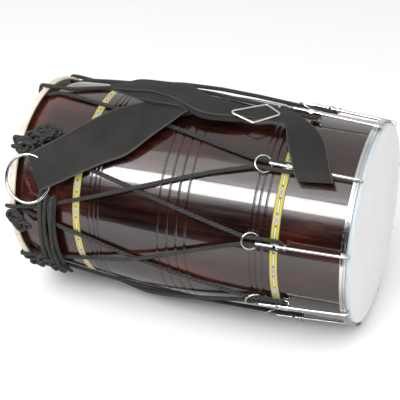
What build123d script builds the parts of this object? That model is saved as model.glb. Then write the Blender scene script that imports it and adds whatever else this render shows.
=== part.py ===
from build123d import *
import math
import os

# A rope-laced barrel drum (dhol) lying on its side, in millimetres.
# X runs along the drum towards the treble head, Z is up, and the drum rests on Z = 0.
# Places round the drum are given as an angle in degrees from straight up, growing towards -Y,
# as a radius from the drum's axis, or as a height above the shell's surface.

# The lugs and the lacing
LUG_COUNT = 9
LUG_STEP = 360 / LUG_COUNT
LACE_TWIST = 8          # degrees that each lace point lies beyond its lug
CLEAR = 0.3             # gap between pieces that bear on each other but are not fixed

# The wooden shell
SHELL_TREBLE_END = 294.3
SHELL_BASS_END = -290.2
BELLY_X = 4.8
BELLY_APEX_R = 174.9    # where the two tapers would meet
BELLY_ARC = 2080
TREBLE_TAPER = 0.0416
BASS_TAPER = 0.0525
SHELL_WALL = 14
BEARING_ROUND = 4
REBATE_R = 153.2        # the turned-down bass rim, which leaves room for the rope under the hoop
REBATE_END = -279
SHOULDER_END = -255
GROOVE_COUNT = 4
GROOVE_PITCH = 15.9
GROOVE_X = -19
GROOVE_WIDTH = 3
GROOVE_DEPTH = 1.2

# The two woven ribbons let into the shell
RIBBON_WIDTH = 14
RIBBON_SEAT = 0.5
RIBBON_THICK = 0.6
BASS_RIBBON_X = -166.2
TREBLE_RIBBON_X = 174.9

# The treble head with its hoops
FILM_X = 295.6          # outer face of the film
FILM_THICK = 1.0
COLLAR_R = 165
COLLAR_ROUND = 3
HOOP_X = (280.4, 290.0)
HOOP_R = 170.2
HOOP_WALL = 2.2
HOOP_LIP_X = 286.6
HOOP_LIP_R = 165.7
HOOP_GROOVE = 1.0
HOOP_EDGE = 1.5
FLANGE_R = 167.4
FLESH_X = (281.0, 285.3)
FLESH_R = (163.6, 167.5)

# The bass hide, lapped round a flat steel hoop
HIDE_THICK = 1.0
HIDE_HOOP_R = 163.4     # middle of the lapped hoop's section
HIDE_HOOP_HALF = 2.8
HIDE_HOOP_WIDTH = 11
BASS_FACE_X = SHELL_BASS_END - CLEAR - HIDE_THICK
HIDE_LAP = 0.8

# The lacing rope
ROPE_R = 3.2
ROPE_PAIR_T = 6.2       # half the spacing of the two strands at a lug
PAIR_LIFT = 7.4         # rope's middle above the shell where the pair runs straight
PAIR_X = (118, 126)
UPPER_WAY_X = (-210, -160, -113, -66, -3, 60)
LOWER_WAYS = ((60, 6.9), (0, 8.6))
TURN_X = 190.8          # rope's middle at the far side of its turn round the link
RIM_SPREAD = 4.2        # sideways from a lace point to each of its two strands
CROSS_X = -66
CREST_HALF = 8
CREST_LIFT = 10.6
LOW_X = -140            # where the upper strand comes down to the shell again
LOW_LIFT = 5.0
REST_LIFT = ROPE_R + CLEAR
WAY_LIFT = REST_LIFT + 0.6
PRESSED_X = -238        # where the spare rope holds the strands down
PRESSED_LIFT = 4.0
HOLE_SPARE = 1.2
ROPE_BEND = 60          # the widest arc that a corner of the lacing's route takes

# The tension hooks, nuts, wire links and tuning rings
ROD_R = 2.5
ROD_TAIL_X = 150
ROD_LIFT = 13.4         # rod's middle above the shell over the rope's turn
HOOK_LEG_X = HOOP_X[1] + 0.2 + ROD_R
HOOK_CORNER_R = 172.9
HOOK_TIP_R = 166.8
HOOK_BEND = 4.4
NUT_X = (177.5, 182.0)
NUT_FLATS = 8.0
ROD_FIT = 0.06
WASHER_LENGTH = 1.4
WASHER_R = 4.6
EYE_R = 4.5
EYE_BORE_R = 2.7
EYE_LENGTH = 3.4
LINK_WIRE_R = 1.3
LINK_LIFT = 1.95        # wire's middle above the shell where it passes under the rope
LINK_BEND = 3.4
RING_X = 139
RING_R = 13.5
RING_WIRE_R = 1.5
RING_LIFT = 7.5
RING_TILT = 27.5

# The shoulder strap, its rings and its slide
STRAP_THICK = 2.5
FOLD_THICK = 5.5        # the layer that lies doubled between the other two
STRAP_LIFT = 18         # height at which the outlines of the strap's layers were read
STRAP_REACH = 340       # how far the cut to a layer's outline runs out from the axis
STRAP_RING_R = 40
STRAP_RING_WIRE_R = 2.5
STRAP_RING_X = -250
STRAP_RING_ANGLE = 68.3
STRAP_RING_N = 178.8
BUCKLE_WIRE_R = 1.8
BUCKLE_LENGTH = 57
BUCKLE_WIDTH = 46
BUCKLE_X = 101
BUCKLE_ANGLE = 12.3
BUCKLE_LIFT = 20.9
BUCKLE_TURN = 40

# The spare rope, laid round the shell over the strands, and its hitches on the rim
SPARE_PASSES = 4
SPARE_PITCH = 7.0
SPARE_X = -232
SPARE_ANGLES = (78, 150)
SPARE_STEPS = 6
SPARE_BEND = 340        # the widest arc of the spare rope, which goes round the shell
BEND_SHARE = 0.45       # share of the shorter run that a bend may take
HITCH_LACES = (1, 2, 3)
HITCH_ANGLE = 3.9       # degrees from the lace point

os.makedirs("parts", exist_ok=True)


def shell_radius(x):
    """Outer radius of the shell: two straight tapers joined by one long arc at the belly."""
    half = (math.atan(TREBLE_TAPER) + math.atan(BASS_TAPER)) / 2
    reach = BELLY_ARC * math.tan(half)
    run = x - BELLY_X
    if run > reach:
        return BELLY_APEX_R - TREBLE_TAPER * run
    if run < -reach:
        return BELLY_APEX_R + BASS_TAPER * run
    lean = (math.atan(BASS_TAPER) - math.atan(TREBLE_TAPER)) / 2
    middle = BELLY_X + (BELLY_ARC / math.cos(half)) * math.sin(lean)
    depth = BELLY_APEX_R - (BELLY_ARC / math.cos(half)) * math.cos(lean)
    return depth + math.sqrt(BELLY_ARC**2 - (x - middle) ** 2)


def rod_radius(x):
    """Distance of a tension rod's middle line from the drum's axis."""
    tilt = (shell_radius(TURN_X) + ROD_LIFT - HOOK_CORNER_R) / (HOOK_LEG_X - TURN_X)
    return HOOK_CORNER_R + tilt * (HOOK_LEG_X - x)


def strand_angle(x, start, end):
    """Angle that a strand has reached at x, between its lug and its lace point."""
    share = (PAIR_X[0] - x) / (PAIR_X[0] - SHOULDER_END)
    return start + share * (end - start)


PAIR_DEGREES = math.degrees(ROPE_PAIR_T / shell_radius(PAIR_X[0]))
RIM_DEGREES = math.degrees(RIM_SPREAD / shell_radius(SHOULDER_END))
UPPER_STRAND = (-PAIR_DEGREES, LACE_TWIST - LUG_STEP + RIM_DEGREES)
LOWER_STRAND = (PAIR_DEGREES, LACE_TWIST + LUG_STEP - RIM_DEGREES)
LEFT_CREST_X = CROSS_X - CREST_HALF
RIGHT_CREST_X = CROSS_X + CREST_HALF

# The drum rests on the lowest crossing of its rope, which is the lug's before the bottom
LOWEST_LUG = LUG_STEP * (LUG_COUNT // 2)
LOWEST_ANGLE = LOWEST_LUG + strand_angle(RIGHT_CREST_X, *LOWER_STRAND)
CREST_R = shell_radius(RIGHT_CREST_X) + CREST_LIFT
AXIS_Z = -CREST_R * math.cos(math.radians(LOWEST_ANGLE)) + ROPE_R


def radial(angle):
    """Unit vector out from the axis at this angle."""
    turn = math.radians(angle)
    return Vector(0, -math.sin(turn), math.cos(turn))


def around(angle):
    """Unit vector along the shell's surface, towards larger angles."""
    turn = math.radians(angle)
    return Vector(0, -math.cos(turn), -math.sin(turn))


def place(x, angle, radius, side=0):
    """The point at x along the drum, at this angle and radius, moved sideways along the surface."""
    return Vector(x, 0, AXIS_Z) + radial(angle) * radius + around(angle) * side


def lug_plane(angle):
    """The plane through the axis and a lug: its X is the drum's X, its Y the radius."""
    return Plane(origin=(0, 0, AXIS_Z), x_dir=(1, 0, 0), z_dir=around(angle))


def tangent_plane(angle, x=0, radius=0):
    """The plane square to the radius at this angle: its X is the drum's X."""
    return Plane(origin=place(x, angle, radius), x_dir=(1, 0, 0), z_dir=radial(angle))


def lug_angle(lug):
    """Angle of a lug, counted from the one at the top."""
    return lug * LUG_STEP


MERIDIAN = lug_plane(0)
DRUM_AXIS = Axis((0, 0, AXIS_Z), (1, 0, 0))


def save(part, name):
    """Label one finished piece and write its file."""
    part.label = name
    export_step(part, f"parts/{name}.step")


def turned(points, rounds=0):
    """A ring or shell turned about the drum's axis from a closed outline of (x, radius) points."""
    with BuildPart() as piece:
        with BuildSketch(MERIDIAN) as section:
            with BuildLine():
                Polyline(*points, close=True)
            make_face()
            if rounds:
                fillet(section.vertices(), rounds)
        revolve(axis=DRUM_AXIS)
    return piece.part


def gentle_radius(before, corner, after):
    """The largest arc that the two runs at a corner leave room for."""
    turn = math.radians((corner - before).get_angle(after - corner))
    room = BEND_SHARE * min((corner - before).length, (after - corner).length)
    return room / math.tan(turn / 2)


def tube(points, radius, limit):
    """A round tube whose middle runs straight between points, with an arc at every corner."""
    corners = zip(points, points[1:], points[2:])
    bends = [min(limit, gentle_radius(*corner)) for corner in corners]
    with BuildPart() as piece:
        with BuildLine() as route:
            FilletPolyline(*points, radius=bends)
        with BuildSketch(Plane(origin=points[0], z_dir=points[1] - points[0])):
            Circle(radius)
        sweep(path=route.wires()[0])
    run = route.wires()[0].length
    share = piece.part.volume / (math.pi * radius**2 * run)
    print(f"tube {run:.1f} long, least bend {min(bends):.2f}, volume share {share:.4f}")
    return piece.part


# The shell: a barrel turned from one log, bored through, with four grooves at its belly
with BuildPart() as barrel_shell:
    with BuildSketch(MERIDIAN) as shell_section:
        with BuildLine():
            outer = FilletPolyline(
                (SHOULDER_END, shell_radius(SHOULDER_END)),
                (BELLY_X, BELLY_APEX_R),
                (SHELL_TREBLE_END, shell_radius(SHELL_TREBLE_END)),
                radius=BELLY_ARC,
            )
            bore = FilletPolyline(
                (SHELL_TREBLE_END, shell_radius(SHELL_TREBLE_END) - SHELL_WALL),
                (BELLY_X, BELLY_APEX_R - SHELL_WALL),
                (SHELL_BASS_END, shell_radius(SHELL_BASS_END) - SHELL_WALL),
                radius=BELLY_ARC - SHELL_WALL,
            )
            Line(outer @ 1, bore @ 0)
            Polyline(
                bore @ 1,
                (SHELL_BASS_END, REBATE_R),
                (REBATE_END, REBATE_R),
                outer @ 0,
            )
        make_face()
        rim = shell_section.vertices().sort_by_distance(outer @ 1)[0]
        fillet(rim, BEARING_ROUND)
    revolve(axis=DRUM_AXIS)
    with BuildSketch(MERIDIAN) as cuts:
        for groove in range(GROOVE_COUNT):
            groove_x = GROOVE_X + groove * GROOVE_PITCH
            top = shell_radius(groove_x)
            with BuildLine():
                Polyline(
                    (groove_x - GROOVE_WIDTH / 2, top + GROOVE_DEPTH),
                    (groove_x - GROOVE_WIDTH / 2, top),
                    (groove_x, top - GROOVE_DEPTH),
                    (groove_x + GROOVE_WIDTH / 2, top),
                    (groove_x + GROOVE_WIDTH / 2, top + GROOVE_DEPTH),
                    close=True,
                )
            make_face()
    revolve(axis=DRUM_AXIS, mode=Mode.SUBTRACT)
    with BuildSketch(MERIDIAN) as seats:
        for middle in (BASS_RIBBON_X, TREBLE_RIBBON_X):
            low = middle - RIBBON_WIDTH / 2
            high = middle + RIBBON_WIDTH / 2
            with BuildLine():
                Polyline(
                    (low, shell_radius(low) - RIBBON_SEAT),
                    (high, shell_radius(high) - RIBBON_SEAT),
                    (high, shell_radius(high) + RIBBON_SEAT),
                    (low, shell_radius(low) + RIBBON_SEAT),
                    close=True,
                )
            make_face()
    revolve(axis=DRUM_AXIS, mode=Mode.SUBTRACT)
save(barrel_shell.part, "barrel_shell")

# The ribbons, each a woven band let into a shallow seat
for ribbon_name, middle in {"ribbon_bass": BASS_RIBBON_X, "ribbon_treble": TREBLE_RIBBON_X}.items():
    low = middle - RIBBON_WIDTH / 2
    high = middle + RIBBON_WIDTH / 2
    ribbon = turned(
        [
            (low, shell_radius(low) - RIBBON_SEAT),
            (high, shell_radius(high) - RIBBON_SEAT),
            (high, shell_radius(high) - RIBBON_SEAT + RIBBON_THICK),
            (low, shell_radius(low) - RIBBON_SEAT + RIBBON_THICK),
        ]
    )
    save(ribbon, ribbon_name)

# The treble head: a film with a collar and a flange that the flesh hoop carries
with BuildPart() as treble_head:
    with BuildSketch(MERIDIAN) as film_section:
        with BuildLine():
            Polyline(
                (FILM_X, 0),
                (FILM_X, COLLAR_R),
                (FLESH_X[1] + CLEAR + FILM_THICK, COLLAR_R),
                (FLESH_X[1] + CLEAR + FILM_THICK, FLANGE_R),
                (FLESH_X[1] + CLEAR, FLANGE_R),
                (FLESH_X[1] + CLEAR, COLLAR_R - FILM_THICK),
                (FILM_X - FILM_THICK, COLLAR_R - FILM_THICK),
                (FILM_X - FILM_THICK, 0),
                close=True,
            )
        make_face()
        crown = film_section.vertices().sort_by_distance((FILM_X, COLLAR_R))[0]
        fillet(crown, COLLAR_ROUND)
    revolve(axis=DRUM_AXIS)
save(treble_head.part, "treble_head")

flesh_hoop = turned(
    [
        (FLESH_X[0], FLESH_R[0]),
        (FLESH_X[1], FLESH_R[0]),
        (FLESH_X[1], FLESH_R[1]),
        (FLESH_X[0], FLESH_R[1]),
    ]
)
save(flesh_hoop, "flesh_hoop")

# The counterhoop: an angle section with a groove between its two bright bands
with BuildPart() as counterhoop:
    with BuildSketch(MERIDIAN) as hoop_section:
        with BuildLine():
            Polyline(
                (HOOP_X[0], HOOP_R),
                (HOOP_X[1], HOOP_R),
                (HOOP_X[1], HOOP_LIP_R),
                (HOOP_LIP_X, HOOP_LIP_R),
                (HOOP_LIP_X, HOOP_R - HOOP_WALL),
                (HOOP_X[0], HOOP_R - HOOP_WALL),
                close=True,
            )
        make_face()
        outside = hoop_section.vertices().sort_by_distance((HOOP_X[1], HOOP_R))[0]
        fillet(outside, HOOP_EDGE)
        with BuildLine():
            Polyline(
                (HOOP_LIP_X - HOOP_GROOVE, HOOP_R + HOOP_GROOVE),
                (HOOP_LIP_X - HOOP_GROOVE, HOOP_R - HOOP_GROOVE),
                (HOOP_LIP_X, HOOP_R - HOOP_GROOVE),
                (HOOP_LIP_X, HOOP_R + HOOP_GROOVE),
                close=True,
            )
        make_face(mode=Mode.SUBTRACT)
    revolve(axis=DRUM_AXIS)
save(counterhoop.part, "counterhoop")

# The bass head: a hide disc whose edge is lapped round the hoop, holed for each pass of the rope
HOOP_MIDDLE_X = BASS_FACE_X + HIDE_HOOP_WIDTH / 2
WRAP = HIDE_HOOP_HALF + CLEAR + ROPE_R
WRAP_LEFT_X = BASS_FACE_X + HIDE_HOOP_HALF - WRAP
WRAP_RIGHT_X = BASS_FACE_X + HIDE_HOOP_WIDTH - HIDE_HOOP_HALF + WRAP
HOLE_R = ROPE_R + HOLE_SPARE
lace_angles = [lug_angle(lug) + LACE_TWIST for lug in range(LUG_COUNT)]
hitch_angles = [lace_angles[lace] + HITCH_ANGLE for lace in HITCH_LACES]
HOOP_BAR = MERIDIAN * Location((HOOP_MIDDLE_X, HIDE_HOOP_R, 0))

with BuildPart() as bass_head:
    with BuildSketch(MERIDIAN):
        with BuildLine():
            Polyline(
                (BASS_FACE_X, 0),
                (BASS_FACE_X, HIDE_HOOP_R),
                (BASS_FACE_X + HIDE_THICK, HIDE_HOOP_R),
                (BASS_FACE_X + HIDE_THICK, 0),
                close=True,
            )
        make_face()
    with BuildSketch(HOOP_BAR):
        SlotOverall(HIDE_HOOP_WIDTH, 2 * HIDE_HOOP_HALF)
    revolve(axis=DRUM_AXIS)
    with BuildSketch(HOOP_BAR):
        SlotOverall(HIDE_HOOP_WIDTH - 2 * HIDE_LAP, 2 * (HIDE_HOOP_HALF - HIDE_LAP))
    revolve(axis=DRUM_AXIS, mode=Mode.SUBTRACT)
    for angle in lace_angles + hitch_angles:
        side = RIM_SPREAD if angle in lace_angles else 0
        hole_at = place(BASS_FACE_X - CLEAR, angle, HIDE_HOOP_R - WRAP, side)
        with BuildSketch(Plane(origin=hole_at, z_dir=(1, 0, 0))):
            Circle(HOLE_R)
        extrude(amount=HIDE_THICK + 2 * CLEAR, mode=Mode.SUBTRACT)
save(bass_head.part, "bass_head")

with BuildPart() as bass_hoop:
    with BuildSketch(HOOP_BAR):
        SlotOverall(HIDE_HOOP_WIDTH - 2 * HIDE_LAP, 2 * (HIDE_HOOP_HALF - HIDE_LAP))
    revolve(axis=DRUM_AXIS)
save(bass_hoop.part, "bass_hoop")


def over_shell(x, angle, lift, side=0):
    """The point this far above the shell's surface."""
    return place(x, angle, shell_radius(x) + lift, side)


OVER_R = HIDE_HOOP_R + WRAP
UNDER_R = HIDE_HOOP_R - WRAP
RIM_BEND_X = BASS_FACE_X + HIDE_HOOP_WIDTH


def lace(lug):
    """The rope from one lace point, up to a lug, round it and down to the lace point beyond."""
    angle = lug_angle(lug)
    near = angle - LUG_STEP + LACE_TWIST
    far = angle + LUG_STEP + LACE_TWIST
    points = [
        place(WRAP_LEFT_X, near, HIDE_HOOP_R),
        place(WRAP_LEFT_X, near, UNDER_R, RIM_SPREAD),
        place(REBATE_END - 2 * CLEAR, near, UNDER_R, RIM_SPREAD),
        over_shell(SHOULDER_END - 2 * CLEAR, near, REST_LIFT, RIM_SPREAD),
    ]
    for x in UPPER_WAY_X:
        points.append(over_shell(x, angle + strand_angle(x, *UPPER_STRAND), WAY_LIFT))
    points.append(over_shell(PAIR_X[1], angle, PAIR_LIFT, -ROPE_PAIR_T))
    points.append(over_shell(TURN_X, angle, PAIR_LIFT, -ROPE_PAIR_T))
    points.append(over_shell(TURN_X, angle, PAIR_LIFT, ROPE_PAIR_T))
    points.append(over_shell(PAIR_X[1], angle, PAIR_LIFT, ROPE_PAIR_T))
    crest = [(RIGHT_CREST_X, CREST_LIFT), (LEFT_CREST_X, CREST_LIFT)]
    held = [(LOW_X, LOW_LIFT), (PRESSED_X, PRESSED_LIFT)]
    for x, lift in [*LOWER_WAYS, *crest, *held]:
        points.append(over_shell(x, angle + strand_angle(x, *LOWER_STRAND), lift))
    points.append(place(RIM_BEND_X, far, OVER_R, -RIM_SPREAD))
    points.append(place(WRAP_LEFT_X, far, OVER_R, -RIM_SPREAD))
    points.append(place(WRAP_LEFT_X, far, HIDE_HOOP_R))
    return tube(points, ROPE_R, ROPE_BEND)


# The lacing, one closed rope in nine lengths that meet end to end at the lace points
lacing = Compound(children=[lace(lug) for lug in range(LUG_COUNT)])
save(lacing, "lacing_rope")

# A tension hook: a rod whose end is bent down over the counterhoop
def rod_plane(lug, x):
    """The plane square to a lug's rod where the rod passes x."""
    angle = lug_angle(lug)
    along = place(HOOK_LEG_X, angle, rod_radius(HOOK_LEG_X)) - place(x, angle, rod_radius(x))
    return Plane(origin=place(x, angle, rod_radius(x)), x_dir=around(angle), z_dir=along)


def hook(lug):
    """One tension hook."""
    angle = lug_angle(lug)
    points = [
        place(ROD_TAIL_X, angle, rod_radius(ROD_TAIL_X)),
        place(HOOK_LEG_X, angle, HOOK_CORNER_R),
        place(HOOK_LEG_X, angle, HOOK_TIP_R),
    ]
    with BuildPart() as piece:
        with BuildLine() as route:
            FilletPolyline(*points, radius=HOOK_BEND)
        with BuildSketch(rod_plane(lug, ROD_TAIL_X)):
            Circle(ROD_R)
        sweep(path=route.wires()[0])
    return piece.part


def nut(lug):
    """One six-sided nut, bored to ride on the hook's rod, with its corners rounded at both ends."""
    with BuildPart() as piece:
        with BuildSketch(rod_plane(lug, NUT_X[0])):
            RegularPolygon(NUT_FLATS / 2, 6, major_radius=False)
            Circle(ROD_R + ROD_FIT, mode=Mode.SUBTRACT)
        extrude(amount=NUT_X[1] - NUT_X[0])
    return piece.part


def collar(lug, start, length, outside, inside):
    """A plain ring on the rod."""
    with BuildPart() as piece:
        with BuildSketch(rod_plane(lug, start)):
            Circle(outside)
            Circle(inside, mode=Mode.SUBTRACT)
        extrude(amount=length)
    return piece.part


WASHER_X = NUT_X[1] + CLEAR / 3
FIRST_EYE_X = WASHER_X + WASHER_LENGTH + CLEAR / 3
FIRST_POST_X = FIRST_EYE_X + EYE_LENGTH / 2
SECOND_POST_X = TURN_X + ROPE_R + LINK_WIRE_R + 3 * CLEAR
SECOND_EYE_X = SECOND_POST_X - EYE_LENGTH / 2


def link(lug):
    """A bent wire under the rope's turn, with an eye for the rod at each end."""
    angle = lug_angle(lug)
    reach = (EYE_R + EYE_BORE_R) / 2
    points = [
        place(FIRST_POST_X, angle, rod_radius(FIRST_POST_X) - reach),
        over_shell(FIRST_POST_X, angle, LINK_LIFT),
        place(SECOND_POST_X, angle, shell_radius(FIRST_POST_X) + LINK_LIFT),
        place(SECOND_POST_X, angle, rod_radius(SECOND_POST_X) - reach),
    ]
    with BuildPart() as piece:
        with BuildLine() as route:
            FilletPolyline(*points, radius=LINK_BEND)
        with BuildSketch(Plane(origin=points[0], z_dir=points[1] - points[0])):
            Circle(LINK_WIRE_R)
        sweep(path=route.wires()[0])
        for start in (FIRST_EYE_X, SECOND_EYE_X):
            with BuildSketch(rod_plane(lug, start)):
                Circle(EYE_R)
            extrude(amount=EYE_LENGTH)
            with BuildSketch(rod_plane(lug, start)):
                Circle(EYE_BORE_R)
            extrude(amount=EYE_LENGTH, mode=Mode.SUBTRACT)
    return piece.part


def wire_ring(plane, ring_radius, wire_radius):
    """A round ring of round wire, lying in a plane."""
    with BuildPart() as piece:
        with BuildSketch(Plane(origin=plane.origin, x_dir=plane.x_dir, z_dir=plane.y_dir)):
            with Locations((ring_radius, 0)):
                Circle(wire_radius)
        revolve(axis=Axis(plane.origin, plane.z_dir))
    return piece.part


def tuning_ring(lug):
    """The ring that gathers the two strands of rope at a lug."""
    angle = lug_angle(lug)
    tilt = math.radians(RING_TILT)
    dip = Vector(1, 0, 0) * math.cos(tilt) - radial(angle) * math.sin(tilt)
    middle = place(RING_X, angle, shell_radius(RING_X) + RING_LIFT)
    level = Plane(origin=middle, x_dir=dip, z_dir=dip.cross(around(angle)))
    return wire_ring(level, RING_R, RING_WIRE_R)


for lug in range(LUG_COUNT):
    save(hook(lug), f"tension_hook_{lug}")
    save(nut(lug), f"tuning_nut_{lug}")
    save(tuning_ring(lug), f"tuning_ring_{lug}")
washers = [
    collar(lug, WASHER_X, WASHER_LENGTH, WASHER_R, EYE_BORE_R) for lug in range(LUG_COUNT)
]
save(Compound(children=washers), "nut_washers")
save(Compound(children=[link(lug) for lug in range(LUG_COUNT)]), "rope_links")

# The ring that carries the shoulder strap, lying over the rope near the bass end
ring_level = tangent_plane(STRAP_RING_ANGLE, STRAP_RING_X, STRAP_RING_N)
save(wire_ring(ring_level, STRAP_RING_R, STRAP_RING_WIRE_R), "strap_ring")

# The strap's slide: a rounded oblong of wire, lying on the strap
turn = math.radians(BUCKLE_TURN)
buckle_level = Plane(
    origin=place(BUCKLE_X, BUCKLE_ANGLE, shell_radius(BUCKLE_X) + BUCKLE_LIFT),
    x_dir=Vector(1, 0, 0) * math.cos(turn) - around(BUCKLE_ANGLE) * math.sin(turn),
    z_dir=radial(BUCKLE_ANGLE),
)
with BuildPart() as strap_buckle:
    half_long = (BUCKLE_LENGTH - 2 * BUCKLE_WIRE_R) / 2
    half_wide = (BUCKLE_WIDTH - 2 * BUCKLE_WIRE_R) / 2
    with BuildLine(buckle_level) as oblong:
        FilletPolyline(
            (half_long, -half_wide),
            (half_long, half_wide),
            (-half_long, half_wide),
            (-half_long, -half_wide),
            radius=3 * BUCKLE_WIRE_R,
            close=True,
        )
    with BuildSketch(Plane(origin=oblong.wires()[0] @ 0, z_dir=oblong.wires()[0] % 0)):
        Circle(BUCKLE_WIRE_R)
    sweep(path=oblong.wires()[0])
save(strap_buckle.part, "strap_buckle")


def laid_sheet(outline, heights, thick=STRAP_THICK):
    """Cloth that follows the shell at the heights given along X, cut to an outline of (x, angle)."""
    middle = sum(angle for _, angle in outline) / len(outline)
    level = [(x, shell_radius(x) + lift) for x, lift in heights]
    upper = [(x, radius + thick) for x, radius in reversed(level)]
    with BuildPart() as piece:
        with BuildSketch(MERIDIAN):
            with BuildLine():
                Polyline(*level, *upper, close=True)
            make_face()
        revolve(axis=DRUM_AXIS)
        with BuildSketch(tangent_plane(middle)):
            with BuildLine():
                corners = [
                    (x, -(shell_radius(x) + STRAP_LIFT) * math.sin(math.radians(angle - middle)))
                    for x, angle in outline
                ]
                Polyline(*corners, close=True)
            make_face()
        extrude(amount=STRAP_REACH, mode=Mode.INTERSECT)
    return piece.part


# The shoulder strap: cloth laid over the drum in folds, from its ring to its loose end
front_band = laid_sheet(
    [
        (-261, 52.9),
        (-212, 41.9),
        (-171, 30.6),
        (-126, 17.1),
        (-80, 10.6),
        (-42, 13.0),
        (-29, 20.8),
        (-42, 28.5),
        (-76, 41.3),
        (-115, 53.6),
        (-144, 59.3),
        (-185, 66.2),
        (-228, 73),
    ],
    [(-263, 25.6), (-212, 20.8), (-188, 15), (-140, 14), (-90, 14), (-40, 14), (-10, 14)],
)
second_layer = laid_sheet(
    [
        (-163, 4.7),
        (-122, 2.8),
        (-83, 5.1),
        (-42, 9),
        (-19, 16.4),
        (-9, 21),
        (-23, 26.4),
        (-60, 25),
        (-100, 19),
        (-141, 11.4),
    ],
    [(-164, 17), (-120, 17), (-80, 17), (-40, 17), (-8, 17)],
    FOLD_THICK,
)
top_layer = laid_sheet(
    [
        (-126, -13.6),
        (-93, 4.5),
        (-43, 10.1),
        (3, 16.6),
        (36, 20.5),
        (74, 21.2),
        (110, 19.4),
        (140, 18.5),
        (155, 25),
        (173, 32.7),
        (198, 47.4),
        (226, 47.1),
        (254, 45.8),
        (248, 40.7),
        (231, 26.8),
        (210, 17.9),
        (171, 10.7),
        (147, 8.8),
        (118, 6.8),
        (80, -4),
        (20, -8),
        (-36, -11),
        (-80, -13),
    ],
    [
        (-127, 27.5),
        (-90, 27.2),
        (-60, 27),
        (-10, 21),
        (50, 15),
        (90, 14.5),
        (135, 14.5),
        (150, 17.8),
        (200, 18),
        (255, 19),
    ],
)
save(Compound(children=[front_band, second_layer, top_layer]), "shoulder_strap")

# The spare rope, wound to and fro round the shell over the strands
SPARE_LIFT = PRESSED_LIFT + 2 * ROPE_R + CLEAR
spare_first, spare_last = SPARE_ANGLES
spare_step = (spare_last - spare_first) / SPARE_STEPS
spare_points = []
for spare_pass in range(SPARE_PASSES):
    x = SPARE_X + spare_pass * SPARE_PITCH
    angles = [spare_first + spare_step * step for step in range(SPARE_STEPS + 1)]
    if spare_pass % 2:
        angles.reverse()
    bulge = 1 / math.cos(math.radians(spare_step / 2))
    for angle in angles:
        spare_points.append(place(x, angle, (shell_radius(x) + SPARE_LIFT) * bulge))
save(tube(spare_points, ROPE_R, SPARE_BEND), "spare_rope_winding")

# The hitches that tie the spare rope to the bass rim, each a closed turn of rope round the hoop
hitches = []
for angle in hitch_angles:
    with BuildPart() as hitch:
        with BuildLine(lug_plane(angle)) as turn_line:
            FilletPolyline(
                (WRAP_RIGHT_X + CLEAR, OVER_R + CLEAR),
                (WRAP_RIGHT_X + CLEAR, UNDER_R - CLEAR),
                (WRAP_LEFT_X - CLEAR, UNDER_R - CLEAR),
                (WRAP_LEFT_X - CLEAR, OVER_R + CLEAR),
                radius=WRAP,
                close=True,
            )
        with BuildSketch(Plane(origin=turn_line.wires()[0] @ 0, z_dir=turn_line.wires()[0] % 0)):
            Circle(ROPE_R)
        sweep(path=turn_line.wires()[0])
    hitches.append(hitch.part)
save(Compound(children=hitches), "rope_hitches")
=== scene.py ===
import bpy
import math
import numpy as np
from mathutils import Matrix, Vector


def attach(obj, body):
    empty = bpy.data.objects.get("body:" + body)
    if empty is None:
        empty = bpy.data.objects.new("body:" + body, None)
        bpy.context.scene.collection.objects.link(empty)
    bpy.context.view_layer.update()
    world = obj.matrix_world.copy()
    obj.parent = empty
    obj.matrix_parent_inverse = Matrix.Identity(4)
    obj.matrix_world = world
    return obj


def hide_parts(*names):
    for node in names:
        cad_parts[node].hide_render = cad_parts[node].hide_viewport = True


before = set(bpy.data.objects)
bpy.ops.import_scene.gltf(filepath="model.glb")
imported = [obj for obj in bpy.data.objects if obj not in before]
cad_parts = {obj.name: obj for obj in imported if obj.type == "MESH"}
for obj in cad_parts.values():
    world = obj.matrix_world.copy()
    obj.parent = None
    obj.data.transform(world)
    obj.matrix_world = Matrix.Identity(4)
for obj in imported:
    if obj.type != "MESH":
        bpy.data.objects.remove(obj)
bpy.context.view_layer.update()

# The barrel: one piece of lacquered wood, turned outside and bored through. V grooves are cut round
# its belly and thin scored lines beside the ribbons. Lengths here and below are metres in the CAD's
# frame: X runs along the drum towards the treble head, Z is up, and the axis is level.
AXIS_Z = 0.1848516
BELLY_X, BELLY_APEX_R, BELLY_ARC = 0.0048, 0.1749, 2.08
TREBLE_TAPER, BASS_TAPER = 0.0416, 0.0525
SHELL_X = (-0.2902, 0.2943)
RIBBON_X = {"ribbon_bass": -0.1662, "ribbon_treble": 0.1749}
RIBBON_WIDTH, RIBBON_RECESS = 0.014, 0.0005


def shell_radius(x):
    """Outer radius of the barrel at x: two straight tapers joined by one long arc at the belly."""
    half = (math.atan(TREBLE_TAPER) + math.atan(BASS_TAPER)) / 2
    lean = (math.atan(BASS_TAPER) - math.atan(TREBLE_TAPER)) / 2
    reach = BELLY_ARC * math.tan(half)
    run = np.asarray(x, dtype=float) - BELLY_X
    far = BELLY_ARC / math.cos(half)
    middle = far * math.sin(lean)
    depth = BELLY_APEX_R - far * math.cos(lean)
    belly = depth + np.sqrt(BELLY_ARC**2 - (np.clip(run, -reach, reach) - middle) ** 2)
    taper = BELLY_APEX_R - np.where(run > 0, TREBLE_TAPER * run, -BASS_TAPER * run)
    return np.where(np.abs(run) < reach, belly, taper)


def place(x, angle, radius, side=0.0):
    """Point at x, at an angle in degrees from straight up towards -Y, and a radius from the axis."""
    turn = np.radians(angle)
    s, c = np.sin(turn), np.cos(turn)
    x, radius = np.broadcast_arrays(np.asarray(x, dtype=float), np.asarray(radius, dtype=float))
    y = -s * radius - c * side
    z = AXIS_Z + c * radius - s * side
    return np.stack([x + 0 * y, y, z + 0 * x], axis=-1)


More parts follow.
